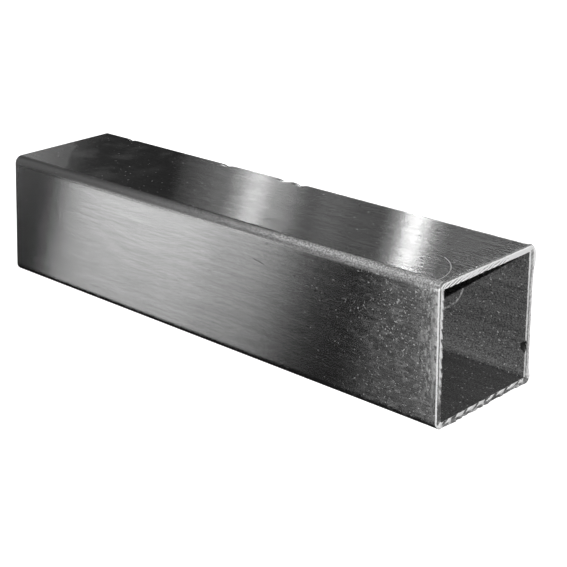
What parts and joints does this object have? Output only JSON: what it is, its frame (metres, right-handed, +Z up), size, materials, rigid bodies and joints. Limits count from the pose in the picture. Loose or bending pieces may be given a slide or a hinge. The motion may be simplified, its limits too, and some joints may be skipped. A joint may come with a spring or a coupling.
{
  "type": "square steel tube",
  "caption": "Short square tube of thin-walled welded steel with rounded corners and sawn open ends, a cut length of stock for frames, sleeves and telescoping fits.",
  "frame": {"origin": "Under the middle of the tube, at the centre of the bottom face that it lies on.", "axes": "+X runs along the tube to the open sawn end at the right of the picture, -Y faces out of the long front wall that the picture shows, +Z is up."},
  "size_m": [0.1112, 0.0254, 0.0254],
  "materials": {
    "bare_steel": "bare cold-rolled steel, finely brushed along its length"
  },
  "bodies": {
    "root": {"square_tube": "bare_steel"}
  },
  "joints": []
}
